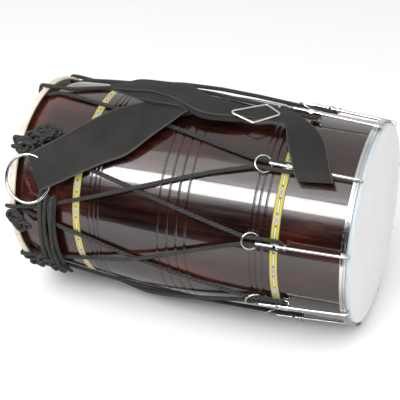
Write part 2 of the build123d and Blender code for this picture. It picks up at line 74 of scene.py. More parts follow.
def make_mesh(name, points, faces, uv=None, smooth=True):
    """A mesh object from an array of points, faces as an array or a list, and UVs per corner."""
    mesh = bpy.data.meshes.new(name)
    if isinstance(faces, np.ndarray):
        faces = faces.tolist()
    mesh.from_pydata(np.asarray(points).tolist(), [], faces)
    if uv is not None:
        layer = mesh.uv_layers.new(name="UVMap")
        layer.data.foreach_set("uv", np.asarray(uv, dtype=float).ravel())
    mesh.polygons.foreach_set("use_smooth", [smooth] * len(mesh.polygons))
    mesh.update()
    obj = bpy.data.objects.new(name, mesh)
    bpy.context.scene.collection.objects.link(obj)
    return obj


def grid_faces(rows, columns, wrap_rows=False, wrap_columns=False):
    """Quads joining a grid of points, row by row, closing round either way if asked."""
    row_count = rows if wrap_rows else rows - 1
    column_count = columns if wrap_columns else columns - 1
    i, j = np.meshgrid(np.arange(row_count), np.arange(column_count), indexing="ij")
    i, j = i.ravel(), j.ravel()
    i2, j2 = (i + 1) % rows, (j + 1) % columns
    return np.stack([i * columns + j, i * columns + j2, i2 * columns + j2, i2 * columns + j], axis=1)


def grid_uv(rows, columns, u, v, wrap_rows=False, wrap_columns=False):
    """UVs for grid_faces: u along the rows' index and v along the columns' index."""
    row_count = rows if wrap_rows else rows - 1
    column_count = columns if wrap_columns else columns - 1
    i, j = np.meshgrid(np.arange(row_count), np.arange(column_count), indexing="ij")
    i, j = i.ravel(), j.ravel()
    corners = [(i, j), (i, j + 1), (i + 1, j + 1), (i + 1, j)]
    return np.stack([np.stack([u[a], v[b]], axis=-1) for a, b in corners], axis=1).reshape(-1, 2)


def lathe(name, profile, around=240, closed=True):
    """A turned form: each (x, r) of an outline goes to (x, -r sin a, r cos a) for a round the axis.

    UV u is the distance along the outline and v the distance round, both in metres.
    """
    outline = np.asarray(profile, dtype=float)
    count = len(outline)
    turn = np.arange(around) * 360.0 / around
    points = place(outline[:, :1], turn[None, :], outline[:, 1:]).reshape(-1, 3)
    steps = np.linalg.norm(np.diff(np.vstack([outline, outline[:1]]), axis=0), axis=1)
    u = np.concatenate([[0], np.cumsum(steps)])
    v = np.arange(around + 1) / around * 2 * math.pi * outline[:, 1].max()
    faces = grid_faces(count, around, wrap_rows=closed, wrap_columns=True)
    uv = grid_uv(count, around, u, v, wrap_rows=closed, wrap_columns=True)
    return make_mesh(name, points, faces, uv)


class Nodes:
    """A short way to build one material's nodes."""

    def __init__(self, name, color, roughness=0.5, metallic=0.0, coat=0.0, coat_roughness=0.1, sheen=0.0):
        self.material = bpy.data.materials.new(name)
        self.material.use_nodes = True
        self.tree = self.material.node_tree
        self.shader = self.tree.nodes["Principled BSDF"]
        self.set("Base Color", (*color, 1.0))
        self.set("Roughness", roughness)
        self.set("Metallic", metallic)
        self.set("Coat Weight", coat)
        self.set("Coat Roughness", coat_roughness)
        self.set("Sheen Weight", sheen)

    def set(self, socket, value):
        """Give one of the shader's sockets a fixed value."""
        self.shader.inputs[socket].default_value = value

    def add(self, kind, inputs=None, **settings):
        """Add a node, with its settings and its inputs' values or links."""
        node = self.tree.nodes.new(kind)
        for key, value in settings.items():
            setattr(node, key, value)
        for key, value in (inputs or {}).items():
            if isinstance(value, bpy.types.NodeSocket):
                self.tree.links.new(value, node.inputs[key])
            else:
                node.inputs[key].default_value = value
        return node

    def link(self, output, socket):
        """Lead an output into one of the shader's sockets."""
        self.tree.links.new(output, self.shader.inputs[socket])

    def math(self, operation, a, b=0.0, c=0.0):
        """The output of a Math node."""
        return self.add("ShaderNodeMath", {0: a, 1: b, 2: c}, operation=operation).outputs[0]

    def coords(self, kind="Object"):
        """A texture coordinate output."""
        return self.add("ShaderNodeTexCoord").outputs[kind]

    def stretched(self, coords, scale):
        """Coordinates scaled by a vector."""
        return self.add("ShaderNodeMapping", {"Vector": coords, "Scale": scale}).outputs[0]

    def noise(self, coords, scale, detail=4.0, rough=0.55):
        """The grey output of a noise texture."""
        wanted = {"Vector": coords, "Scale": scale, "Detail": detail, "Roughness": rough}
        return self.add("ShaderNodeTexNoise", wanted).outputs[0]

    def ramp(self, value, stops):
        """Colours blended by a value: stops are (position, (r, g, b))."""
        node = self.add("ShaderNodeValToRGB", {"Fac": value})
        bar = node.color_ramp
        while len(bar.elements) < len(stops):
            bar.elements.new(0.5)
        for element, (position, color) in zip(bar.elements, stops):
            element.position = position
            element.color = (*color, 1.0)
        return node.outputs[0]

    def mix(self, share, a, b):
        """Two colours blended by a share."""
        node = self.add("ShaderNodeMix", data_type="RGBA")
        for socket, value in ((0, share), (6, a), (7, b)):
            if isinstance(value, bpy.types.NodeSocket):
                self.tree.links.new(value, node.inputs[socket])
            elif socket == 0:
                node.inputs[0].default_value = value
            else:
                node.inputs[socket].default_value = (*value, 1.0)
        return node.outputs[2]

    def span(self, value, low, high, to_low, to_high):
        """A value carried from one range into another."""
        wanted = {"Value": value, 1: low, 2: high, 3: to_low, 4: to_high}
        return self.add("ShaderNodeMapRange", wanted).outputs[0]

    def bump(self, height, distance, strength=1.0):
        """Lead a height into the shader's normal."""
        wanted = {"Height": height, "Distance": distance, "Strength": strength}
        self.link(self.add("ShaderNodeBump", wanted).outputs[0], "Normal")

    def axes(self, coords):
        """The X, Y and Z outputs of a vector."""
        return self.add("ShaderNodeSeparateXYZ", {0: coords}).outputs


GROOVE_X = [-0.019 + 0.0159 * n for n in range(4)]
GROOVE_WIDTH, GROOVE_DEPTH = 0.0034, 0.0012
SCORE_X = [-0.1435, -0.1345, -0.1270, 0.1360, 0.1450, 0.1560]
SCORE_WIDTH, SCORE_DEPTH = 0.0032, 0.0011
cuts = [(x, GROOVE_WIDTH, GROOVE_DEPTH) for x in GROOVE_X]
cuts += [(x, SCORE_WIDTH, SCORE_DEPTH) for x in SCORE_X]
stops = set(np.round(np.linspace(-0.254, 0.2903, 150), 5))
for x, width, depth in cuts:
    stops |= {round(x + width * share, 5) for share in (-0.9, -0.5, -0.3, -0.12, 0, 0.12, 0.3, 0.5, 0.9)}
outer = []
for x in sorted(stops):
    drop = 0.0
    for middle, width, depth in cuts:
        drop += depth * max(0.0, 1 - abs(x - middle) / (width / 2)) ** 0.7
    for middle in RIBBON_X.values():
        if abs(x - middle) < RIBBON_WIDTH / 2:
            drop = RIBBON_RECESS
    outer.append((x, float(shell_radius(x)) - drop))
WALL = 0.014
ROUND = 0.004
edge_x = SHELL_X[1]
edge_r = float(shell_radius(edge_x))
bearing = [
    (edge_x - ROUND + ROUND * math.sin(a), edge_r - ROUND + ROUND * math.cos(a))
    for a in np.linspace(0.15, math.pi / 2, 6)
]
inner = [(x, float(shell_radius(x)) - WALL) for x in np.linspace(edge_x, SHELL_X[0], 14)]
REBATE_X, REBATE_R = -0.279, 0.1532
rebate = [(SHELL_X[0], REBATE_R), (REBATE_X, REBATE_R)]
shell = lathe("shell_lacquered", rebate + outer + bearing + inner, 288)
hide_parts("barrel_shell")
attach(shell, "drum")

m = Nodes("lacquered_mahogany", (0.014, 0.003, 0.0016), 0.2, coat=0.85, coat_roughness=0.04)
at = m.coords()
grain = m.noise(m.stretched(at, (7, 120, 120)), 1.0, 6.0, 0.6)
pores = m.noise(m.stretched(at, (35, 900, 900)), 1.0, 3.0)
patch = m.noise(m.stretched(at, (5, 12, 12)), 1.0, 5.0, 0.62)
wood = m.ramp(
    patch, [(0.36, (0.006, 0.0016, 0.001)), (0.52, (0.022, 0.0036, 0.0018)), (0.72, (0.085, 0.010, 0.0045))]
)
figure = m.ramp(grain, [(0.3, (0.35, 0.3, 0.3)), (0.62, (1.0, 1.0, 1.0))])
node = m.add("ShaderNodeMix", data_type="RGBA", blend_type="MULTIPLY")
node.inputs[0].default_value = 0.8
m.tree.links.new(wood, node.inputs[6])
m.tree.links.new(figure, node.inputs[7])
m.link(node.outputs[2], "Base Color")
m.link(m.span(grain, 0.3, 0.7, 0.16, 0.3), "Roughness")
ripple = m.noise(m.stretched(at, (9, 26, 26)), 1.0, 2.0)
streak = m.noise(m.stretched(at, (14, 150, 150)), 1.0, 3.0)
fine = m.math("ADD", m.math("MULTIPLY", streak, 0.35), m.math("MULTIPLY", pores, 0.06))
height = m.math("ADD", ripple, fine)
m.bump(height, 0.0006, 0.5)
shell.data.materials.append(m.material)

# The two woven ribbons, laid in shallow recesses round the barrel: gold at each side, and white
# dashes that take turns with lavender lozenges along the middle. u runs across the ribbon and v
# round the drum.
m = Nodes("woven_ribbon", (0.8, 0.8, 0.8), 0.55, sheen=0.3)
uv = m.axes(m.coords("UV"))
across = m.math("ABSOLUTE", m.math("SUBTRACT", uv[0], RIBBON_WIDTH / 2))
PATTERN_PITCH = 0.044
repeat = m.math("FRACT", m.math("DIVIDE", uv[1], PATTERN_PITCH))
centred = m.math("ABSOLUTE", m.math("SUBTRACT", repeat, 0.5))
lozenge_reach = m.math("ADD", m.math("MULTIPLY", centred, 0.021), across)
lozenge = m.math("LESS_THAN", lozenge_reach, 0.0043)
outside = m.math("GREATER_THAN", lozenge_reach, 0.0050)
beside = m.math("MULTIPLY", outside, m.math("GREATER_THAN", across, 0.0016))
gold = m.math("MULTIPLY", beside, m.math("LESS_THAN", across, 0.0060))
dash = m.math("MULTIPLY", m.math("GREATER_THAN", centred, 0.26), m.math("LESS_THAN", across, 0.0009))
color = m.mix(gold, (0.05, 0.045, 0.03), (0.50, 0.42, 0.02))
color = m.mix(lozenge, color, (0.30, 0.26, 0.33))
ring_band = m.math("MULTIPLY", lozenge, m.math("GREATER_THAN", lozenge_reach, 0.0031))
color = m.mix(ring_band, color, (0.60, 0.58, 0.60))
color = m.mix(dash, color, (0.74, 0.73, 0.66))
thread = m.math("SINE", m.math("MULTIPLY", uv[1], 2 * math.pi / 0.0009))
pick = m.math("SINE", m.math("MULTIPLY", uv[0], 2 * math.pi / 0.0008))
weave = m.math("MULTIPLY", thread, pick)
shade = m.span(weave, -1.0, 1.0, 0.72, 1.06)
node = m.add("ShaderNodeMix", data_type="RGBA", blend_type="MULTIPLY")
node.inputs[0].default_value = 1.0
m.tree.links.new(color, node.inputs[6])
m.tree.links.new(m.add("ShaderNodeCombineColor", {0: shade, 1: shade, 2: shade}).outputs[0], node.inputs[7])
m.link(node.outputs[2], "Base Color")
m.bump(weave, 0.00012, 0.8)
for node_name, middle in RIBBON_X.items():
    across_x = np.linspace(middle - RIBBON_WIDTH / 2, middle + RIBBON_WIDTH / 2, 9)
    crown = 0.0001 + 0.0002 * np.cos(np.linspace(-1.35, 1.35, 9))
    top = [(x, float(shell_radius(x)) + lift) for x, lift in zip(across_x, crown)]
    bottom = [(x, float(shell_radius(x)) - 0.0004) for x in across_x[::-1]]
    ribbon = lathe(f"{node_name}_woven", top + bottom, 240)
    ribbon.data.materials.append(m.material)
    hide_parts(node_name)
    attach(ribbon, "drum")

# The treble head: a coated film whose flat face turns down over a rounded edge into its collar,
# with a flange that the flesh hoop carries under the counterhoop.
FILM_X, COLLAR_R, COLLAR_ROUND = 0.2956, 0.165, 0.003
POLE_R = 0.0003    # a turned disc's outline stops this short of the axis
face = [(FILM_X, r) for r in np.linspace(POLE_R, COLLAR_R - COLLAR_ROUND, 30)]
bend = [
    (FILM_X - COLLAR_ROUND + COLLAR_ROUND * math.cos(a), COLLAR_R - COLLAR_ROUND + COLLAR_ROUND * math.sin(a))
    for a in np.linspace(0.15, math.pi / 2, 9)
]
FLANGE_TOP_X, FLANGE_LOW_X, FLANGE_R, INSIDE_R, INSIDE_X = 0.2866, 0.2856, 0.1674, 0.164, 0.2946
flange = [
    (FLANGE_TOP_X, COLLAR_R), (FLANGE_TOP_X, FLANGE_R), (FLANGE_LOW_X, FLANGE_R),
    (FLANGE_LOW_X, INSIDE_R), (INSIDE_X, INSIDE_R), (INSIDE_X, POLE_R),
]
film = lathe("treble_film", (face + bend + flange)[::-1], 240)
m = Nodes("coated_film", (0.83, 0.83, 0.82), 0.42, sheen=0.05)
at = m.coords()
_, y, z = m.axes(at)
height_z = m.math("SUBTRACT", z, AXIS_Z)
radius = m.math("SQRT", m.math("ADD", m.math("MULTIPLY", y, y), m.math("MULTIPLY", height_z, height_z)))
cloud = m.noise(at, 14.0, 5.0)
tone = m.ramp(cloud, [(0.3, (0.69, 0.695, 0.69)), (0.7, (0.75, 0.75, 0.74))])
wear = m.noise(at, 75.0, 4.0)
# Painted shade: the film is painted blue-grey round its rounded collar, where it turns away from the light.
painted_collar_shade = m.span(radius, 0.1612, 0.1642, 0.0, 1.0)
m.link(m.mix(painted_collar_shade, tone, (0.46, 0.52, 0.57)), "Base Color")
m.link(m.span(wear, 0.3, 0.7, 0.36, 0.5), "Roughness")
m.bump(m.noise(at, 1600.0, 3.0), 0.00004, 0.5)
film.data.materials.append(m.material)
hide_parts("treble_head")
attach(film, "drum")

# The flesh hoop: a plain steel band inside the counterhoop, which grips the film's flange. Its
# plating is the one that the counterhoop and the lugs have, with a duller polish.


def plating(name, roughness=0.13):
    """Bright plating with faint smears."""
    m = Nodes(name, (0.6, 0.6, 0.6), roughness, metallic=1.0)
    at = m.coords()
    smear = m.noise(m.stretched(at, (40, 160, 160)), 1.0, 3.0)
    m.link(m.span(smear, 0.3, 0.75, roughness * 0.6, roughness * 1.9), "Roughness")
    tone = m.noise(at, 22.0, 2.0)
    m.link(m.ramp(tone, [(0.3, (0.5, 0.5, 0.5)), (0.6, (0.66, 0.66, 0.65))]), "Base Color")
    m.bump(m.noise(at, 900.0, 2.0), 0.00002, 0.3)
    return m.material


steel = plating("hoop_steel", 0.3)
FLESH_X, FLESH_R = (0.281, 0.2853), (0.1636, 0.1675)
flesh_outline = [
    (FLESH_X[0], FLESH_R[0]), (FLESH_X[0], FLESH_R[1]), (FLESH_X[1], FLESH_R[1]), (FLESH_X[1], FLESH_R[0]),
]
flesh = lathe("flesh_hoop_band", flesh_outline, 200)
flesh.data.materials.append(steel)
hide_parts("flesh_hoop")
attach(flesh, "drum")

# The counterhoop: a ring of plated steel that the hooks pull down on the flesh hoop. It has two
# bright bands with a dark groove between them, and a lip over the head.
HOOP_R = 0.1702
hoop_outline = [
    (0.2804, HOOP_R - 0.0006), (0.2808, HOOP_R - 0.0001), (0.2816, HOOP_R), (0.2849, HOOP_R),
    (0.2855, HOOP_R - 0.0004), (0.2856, HOOP_R - 0.001), (0.2864, HOOP_R - 0.001), (0.2866, HOOP_R - 0.0004),
]
LIP_X, LIP_ROUND = 0.2885, 0.0015
hoop_outline += [
    (LIP_X + LIP_ROUND * math.sin(a), HOOP_R - LIP_ROUND + LIP_ROUND * math.cos(a))
    for a in np.linspace(0, math.pi / 2, 8)
]
hoop_outline += [(0.29, 0.1659), (0.2898, 0.1657), (0.2866, 0.1657), (0.2866, 0.168), (0.2804, 0.168)]
hoop = lathe("counterhoop_bands", hoop_outline, 240)
chrome = plating("bright_plating")
hoop.data.materials.append(chrome)
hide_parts("counterhoop")
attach(hoop, "drum")

# The bass head: rawhide stretched over the end and lapped round its hoop, where it is puckered
# into fine folds between the lacing holes. The lap stays within the CAD hide's own section.
HIDE_X, HIDE_R, HIDE_HALF, HIDE_WIDTH = -0.2915, 0.1634, 0.0028, 0.011
AROUND_HIDE = 540
left_x, right_x = HIDE_X + HIDE_HALF, HIDE_X + HIDE_WIDTH - HIDE_HALF
lap = [
    (left_x - HIDE_HALF * math.sin(a), HIDE_R - HIDE_HALF * math.cos(a)) for a in np.linspace(0.8, math.pi, 9)
]
lap += [
    (right_x + HIDE_HALF * math.sin(a), HIDE_R + HIDE_HALF * math.cos(a)) for a in np.linspace(0, math.pi, 11)
]
lap += [(left_x, HIDE_R - HIDE_HALF), (HIDE_X + 0.001, HIDE_R - HIDE_HALF)]
disc = [(HIDE_X, r) for r in np.linspace(POLE_R, HIDE_R - 0.0022, 14)]
hide = lathe("bass_hide", disc + lap + [(HIDE_X + 0.001, 0.1), (HIDE_X + 0.001, POLE_R)], AROUND_HIDE)
count = len(hide.data.vertices)
points = np.empty(count * 3)
hide.data.vertices.foreach_get("co", points)
points = points.reshape(-1, 3)
turn = np.arctan2(-points[:, 1], points[:, 2] - AXIS_Z)
radius = np.hypot(points[:, 1], points[:, 2] - AXIS_Z)
pucker = np.sin(turn * 61) * 0.5 + np.sin(turn * 97 + 1.3) * 0.3 + np.sin(turn * 23 + 0.4) * 0.2
shrink = 0.0003 * (pucker - 1.0) * np.clip((radius - 0.1632) / 0.002, 0, 1)
points[:, 1] += -np.sin(turn) * shrink
points[:, 2] += np.cos(turn) * shrink
hide.data.vertices.foreach_set("co", points.ravel())
m = Nodes("rawhide", (0.80, 0.72, 0.60), 0.55, sheen=0.05)
at = m.coords()
blotch = m.noise(at, 26.0, 6.0, 0.6)
fibre = m.noise(at, 330.0, 4.0)
stains = [(0.3, (0.52, 0.43, 0.32)), (0.52, (0.64, 0.57, 0.47)), (0.75, (0.74, 0.69, 0.61))]
m.link(m.ramp(blotch, stains), "Base Color")
m.link(m.span(blotch, 0.3, 0.7, 0.42, 0.65), "Roughness")
m.bump(m.math("ADD", fibre, m.math("MULTIPLY", blotch, 1.5)), 0.0003, 0.6)
hide.data.materials.append(m.material)
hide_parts("bass_head")
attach(hide, "drum")
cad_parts["bass_hoop"].data.materials.clear()
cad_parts["bass_hoop"].data.materials.append(steel)

# The lacing: one braided rope, drawn from lace point to lug to lace point along the CAD route,
# with the arcs of a stiff rope at every bend. The braid is in the material, from the tube's UVs.
LUGS = 9
LUG_STEP = 40
ROPE_R = 0.0032
LACE_DRAWN_R = 1.06 * ROPE_R    # its loose strands stand a little proud of the CAD rope
HIDE_WRAP = HIDE_HALF + 0.0003 + ROPE_R
WRAP_LEFT_X = HIDE_X + HIDE_HALF - HIDE_WRAP
RIM_BEND_X = HIDE_X + HIDE_WIDTH
OVER_R, UNDER_R = HIDE_R + HIDE_WRAP, HIDE_R - HIDE_WRAP
LACE_TWIST, RIM_SPREAD, PAIR_T = 8, 0.0042, 0.0062
PAIR_X, SHOULDER_X, TURN_X = 0.118, -0.255, 0.1908
PAIR_LIFT = 0.0074
pair_degrees = math.degrees(PAIR_T / float(shell_radius(PAIR_X)))
rim_degrees = math.degrees(RIM_SPREAD / float(shell_radius(SHOULDER_X)))


def over_shell(x, angle, lift, side=0.0):
    """Point a height above the shell's surface, moved sideways round the drum."""
    return place(x, angle, shell_radius(x) + lift, side)


def rounded(points, limit, share=0.45, step=4.0, closed=False):
    """A path of straight runs through points with an arc at each corner, as an array of points.

    Each arc's radius is the limit, or share times the shorter run over the tangent of half the turn.
    step is the largest turn in degrees between two points of an arc.
    """
    corners = [np.asarray(p, dtype=float) for p in points]
    count = len(corners)
    path = [] if closed else [corners[0]]
    for index in range(count if closed else count - 2):
        before, corner, after = (corners[(index + offset) % count] for offset in range(3))
        into, out = corner - before, after - corner
        length_in, length_out = np.linalg.norm(into), np.linalg.norm(out)
        into, out = into / length_in, out / length_out
        turn = math.acos(max(-1.0, min(1.0, float(into @ out))))
        if turn < 1e-4:
            continue
        cut = min(limit * math.tan(turn / 2), share * min(length_in, length_out))
        radius = cut / math.tan(turn / 2)
        bisector = (out - into) / np.linalg.norm(out - into)
        middle = corner + bisector * radius / math.cos(turn / 2)
        start = corner - into * cut
        spoke = start - middle
        pieces = max(2, math.ceil(math.degrees(turn) / step))
        for k in range(pieces + 1):
            angle = turn * k / pieces
            path.append(middle + spoke * math.cos(angle) + into * radius * math.sin(angle))
    if not closed:
        path.append(corners[-1])
    return np.array(path)


def even(path, spacing, closed=False):
    """The same path with points at an even spacing."""
    line = np.vstack([path, path[:1]]) if closed else path
    reach = np.concatenate([[0], np.cumsum(np.linalg.norm(np.diff(line, axis=0), axis=1))])
    count = max(4, int(round(reach[-1] / spacing)))
    at = np.linspace(0, reach[-1], count + 1)
    if closed:
        at = at[:-1]
    return np.stack([np.interp(at, reach, line[:, axis]) for axis in range(3)], axis=1)


def frames_along(path, closed=False):
    """Two directions square to the path at each point, carried along it without twisting."""
    ahead = np.roll(path, -1, axis=0) - np.roll(path, 1, axis=0)
    if not closed:
        ahead[0], ahead[-1] = path[1] - path[0], path[-1] - path[-2]
    ahead /= np.linalg.norm(ahead, axis=1)[:, None]
    first = np.cross(ahead[0], (0.0, 0.0, 1.0))
    if np.linalg.norm(first) < 0.1:
        first = np.cross(ahead[0], (0.0, 1.0, 0.0))
    sides = [first / np.linalg.norm(first)]
    for tangent in ahead[1:]:
        side = sides[-1] - tangent * (sides[-1] @ tangent)
        sides.append(side / np.linalg.norm(side))
    sides = np.array(sides)
    ups = np.cross(ahead, sides)
    if closed:
        miss = math.atan2(sides[-1] @ ups[0], sides[-1] @ sides[0])
        turn = -miss * np.arange(len(path)) / len(path)
        c, s = np.cos(turn)[:, None], np.sin(turn)[:, None]
        sides, ups = sides * c + ups * s, ups * c - sides * s
    return sides, ups


def tube(name, path, radius, sides=16, closed=False, caps=True):
    """A round tube along a path. UV u is metres along and v metres round.

    Each point is the path's own plus radius times (cos a * side + sin a * up), for a round the tube.
    """
    across, upward = frames_along(path, closed)
    count = len(path)
    turn = np.arange(sides) * 2 * math.pi / sides
    ring = np.cos(turn)[None, :, None] * across[:, None, :] + np.sin(turn)[None, :, None] * upward[:, None, :]
    points = (path[:, None, :] + ring * radius).reshape(-1, 3)
    faces = grid_faces(count, sides, wrap_rows=closed, wrap_columns=True).tolist()
    line = np.vstack([path, path[:1]])
    u = np.concatenate([[0], np.cumsum(np.linalg.norm(np.diff(line, axis=0), axis=1))])
    v = np.arange(sides + 1) / sides * 2 * math.pi * radius
    uv = grid_uv(count, sides, u, v, wrap_rows=closed, wrap_columns=True)
    if caps and not closed:
        here = np.arange(sides)
        after = (here + 1) % sides
        hub, last = np.full(sides, count * sides), (count - 1) * sides
        points = np.vstack([points, path[:1], path[-1:]])
        faces += np.stack([hub, after, here], axis=1).tolist()
        faces += np.stack([hub + 1, last + here, last + after], axis=1).tolist()
        for end, first, second in ((0, v[1:], v[:-1]), (count - 1, v[:-1], v[1:])):
            at = np.full(sides, u[end])
            corners = np.stack([at, 0 * at, at, first, at, second], axis=1)
            uv = np.vstack([uv, corners.reshape(-1, 2)])
    return make_mesh(name, points, faces, uv)


def strand_angle(x, start, end):
    """Angle that a strand has reached at x, between its lug and its lace point."""
    return start + (PAIR_X - x) / (PAIR_X - SHOULDER_X) * (end - start)


def lace_path(lug):
    """The middle of the rope from one lace point, round a lug, to the lace point beyond it."""
    angle = lug * LUG_STEP
    near, far = angle - LUG_STEP + LACE_TWIST, angle + LUG_STEP + LACE_TWIST
    upper = (-pair_degrees, LACE_TWIST - LUG_STEP + rim_degrees)
    lower = (pair_degrees, LACE_TWIST + LUG_STEP - rim_degrees)
    points = [
        place(WRAP_LEFT_X, near, HIDE_R),
        place(WRAP_LEFT_X, near, UNDER_R, RIM_SPREAD),
        place(-0.2796, near, UNDER_R, RIM_SPREAD),
        over_shell(-0.2556, near, 0.0035, RIM_SPREAD),
    ]
    for x in (-0.21, -0.16, -0.113, -0.066, -0.003, 0.06):
        points.append(over_shell(x, angle + strand_angle(x, *upper), 0.0041))
    for x, side in ((0.126, -1), (TURN_X, -1), (TURN_X, 1), (0.126, 1)):
        points.append(over_shell(x, angle, PAIR_LIFT, side * PAIR_T))
    over = ((0.06, 6.9), (0, 8.6), (-0.058, 10.6), (-0.074, 10.6), (-0.14, 5.0), (-0.238, 4.0))
    for x, lift in over:
        points.append(over_shell(x, angle + strand_angle(x, *lower), lift / 1000))
    points.append(place(RIM_BEND_X, far, OVER_R, -RIM_SPREAD))
    points.append(place(WRAP_LEFT_X, far, OVER_R, -RIM_SPREAD))
    points.append(place(WRAP_LEFT_X, far, HIDE_R))
    return even(rounded(points, 0.06), 0.0025)


def braid(name, tone, strands=8.0, pitch=0.0085):
    """Braided black cord: two sets of slanting strands over and under each other, with fuzz; the strands'
    crowns are painted pale as a highlight and the gaps between them painted dark as shade.

    u runs along the cord and v round it, both in metres.
    """
    m = Nodes(name, tone, 0.7, sheen=0.04)
    m.set("Specular IOR Level", 0.25)
    uv = m.axes(m.coords("UV"))
    along = m.math("MULTIPLY", uv[0], 2 * math.pi / pitch)
    circle = m.math("MULTIPLY", uv[1], strands / 2 / ROPE_R)
    one = m.math("SINE", m.math("ADD", along, circle))
    other = m.math("SINE", m.math("SUBTRACT", along, circle))
    ridge = m.math("MAXIMUM", one, other)
    at = m.coords()
    fuzz = m.noise(at, 2400.0, 3.0)
    drift = m.noise(at, 60.0, 3.0)
    # Painted light: the strands' crowns are painted pale as a highlight and the gaps between them dark as
    # painted shade, mixed with a slow random drift in tone.
    lit = m.span(ridge, -0.2, 1.0, 0.25, 1.0)
    groove_shade_color = tuple(c * 0.2 for c in tone)
    crown_highlight_color = tuple(min(1.0, c * 5) for c in tone)
    shade = m.math("ADD", m.math("MULTIPLY", lit, 0.75), m.math("MULTIPLY", drift, 0.3))
    m.link(m.ramp(shade, [(0.15, groove_shade_color), (0.65, tone), (1.0, crown_highlight_color)]), "Base Color")
    m.bump(m.math("ADD", lit, m.math("MULTIPLY", fuzz, 0.35)), 0.0011, 1.0)
    return m.material


cord_black = braid("braided_cord", (0.0125, 0.013, 0.012))
for lug in range(LUGS):
    lace = tube(f"lacing_{lug}", lace_path(lug), LACE_DRAWN_R, 14, caps=False)
    lace.data.materials.append(cord_black)
    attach(lace, "drum")
    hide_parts("lacing_rope")

# The bright hardware: hooks, nuts, washers, wire links and rings of plated steel, screwed to the
# counterhoop or hung in the rope. They keep the CAD's own shapes and get the plating.
BRIGHT_NODES = ("tension_hook", "tuning_nut", "tuning_ring", "strap_ring", "nut_washers", "rope_links")
for node_name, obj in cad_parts.items():
    if node_name.startswith(BRIGHT_NODES):
        obj.data.materials.clear()
        obj.data.materials.append(chrome)

# The shoulder strap: one long band of soft woven cotton. It folds round its ring, runs over the
# drum, curls back on itself twice, passes through the slide and ends in a loose tail. Each station
# gives its two edges as (pixel x, pixel y, height over the shell in mm), read from the photograph.
STRAP_PIXELS = [
    ((58, 139, 10.5), (65, 181, 10.0)),
    ((37, 148.5, 12.0), (47, 187.5, 11.5)),
    ((31, 151.5, 18.0), (42, 190, 16.0)),
    ((30.5, 152, 23.0), (42, 190.5, 20.5)),
    ((61, 136, 19.0), (68, 179, 17.5)),
    ((93, 118.7, 16.5), (100, 165, 16.0)),
    ((117, 108, 15.8), (127, 155, 15.8)),
    ((146.7, 101.3, 15.8), (151, 137, 15.8)),
    ((163, 100, 15.8), (171, 122.5, 16.0)),
    ((176, 103, 17.0), (184, 113, 18.0)),
    ((181, 102.5, 19.2), (187, 112.3, 19.8)),
    ((181, 101, 21.3), (186, 111, 21.8)),
    ((172, 94.5, 22.4), (178, 105.5, 22.0)),
    ((150, 90, 22.4), (156, 102, 22.0)),
    ((128, 86.5, 22.2), (136, 98, 21.7)),
    ((116, 84.8, 22.8), (119, 92.5, 22.4)),
    ((111, 84.6, 24.6), (113.5, 90.4, 24.2)),
    ((112.5, 83.6, 26.6), (116, 89.2, 26.0)),
    ((124, 83, 27.1), (132, 90.2, 26.6)),
    ((142, 79.5, 26.4), (152, 91.5, 26.0)),
    ((165, 81.5, 25.2), (176, 99, 24.8)),
    ((190, 85, 23.2), (195, 110, 22.2)),
    ((207, 94, 20.7), (213, 114.5, 20.5)),
    ((230, 101.5, 19.0), (240, 116.5, 18.5)),
    ((255, 107.5, 18.3), (262, 120, 18.0)),
    ((272, 106.5, 18.6), (276, 123, 18.2)),
    ((288, 110, 20.0), (283, 122.5, 19.6)),
    ((301, 117, 21.0), (286, 130, 20.8)),
    ((315, 127, 21.0), (287, 143, 20.8)),
    ((325, 142, 21.0), (290.5, 160, 20.8)),
    ((329, 160, 21.0), (293.5, 173, 20.8)),
    ((333.5, 184, 21.0), (297, 181.5, 20.8)),
]
UNDER_PIXELS = [
    ((114, 86.3, 19.6), (117.5, 90.8, 19.4)),
    ((126, 89, 19.0), (131, 96.5, 18.8)),
    ((143, 92, 18.8), (150, 103, 18.6)),
    ((176, 95, 20.3), (181, 107.5, 20.0)),
    ((196, 98, 18.4), (201, 117.5, 18.0)),
    ((225, 106, 16.6), (229, 121.5, 16.4)),
    ((244, 111, 15.9), (249, 121.5, 15.8)),
]
STRAP_THICK = 0.0022


# The camera's turn is three angles in degrees: round the drum from its front towards the treble end,
# up from level, and about its own sight line. seen_at() puts a pixel of the photograph on the drum.
CAMERA_PLACE = np.array([0.649165, -1.651647, 0.940218 + AXIS_Z])
CAMERA_AROUND, CAMERA_ABOVE, CAMERA_ROLL = (math.radians(angle) for angle in (21.846, 28.186, -0.791))
LENS, SENSOR, FRAME = 105.5, 36, 400
FOCAL = LENS / SENSOR * FRAME
SIGHT = np.linspace(1.4, 2.6, 24001)    # distances tried along a line of sight
CAMERA_BACK = np.array([
    math.sin(CAMERA_AROUND) * math.cos(CAMERA_ABOVE),
    -math.cos(CAMERA_AROUND) * math.cos(CAMERA_ABOVE),
    math.sin(CAMERA_ABOVE),
])
level = np.array([math.cos(CAMERA_AROUND), math.sin(CAMERA_AROUND), 0.0])
rise = np.cross(CAMERA_BACK, level)
CAMERA_RIGHT = level * math.cos(CAMERA_ROLL) + rise * math.sin(CAMERA_ROLL)
CAMERA_UP = rise * math.cos(CAMERA_ROLL) - level * math.sin(CAMERA_ROLL)


def seen_at(px, py, lift):
    """Station (x, angle, lift), in mm and degrees, seen at a pixel and lying lift mm over the shell."""
    aim = CAMERA_RIGHT * (px - FRAME / 2) / FOCAL + CAMERA_UP * (FRAME / 2 - py) / FOCAL - CAMERA_BACK
    points = CAMERA_PLACE + SIGHT[:, None] * aim
    gap = np.hypot(points[:, 1], points[:, 2] - AXIS_Z) - shell_radius(points[:, 0]) - lift / 1000
    inside = np.flatnonzero(gap <= 0)
    x, y, z = points[inside[0] if len(inside) else int(gap.argmin())]
    return (x * 1000, math.degrees(math.atan2(-y, z - AXIS_Z)), lift)


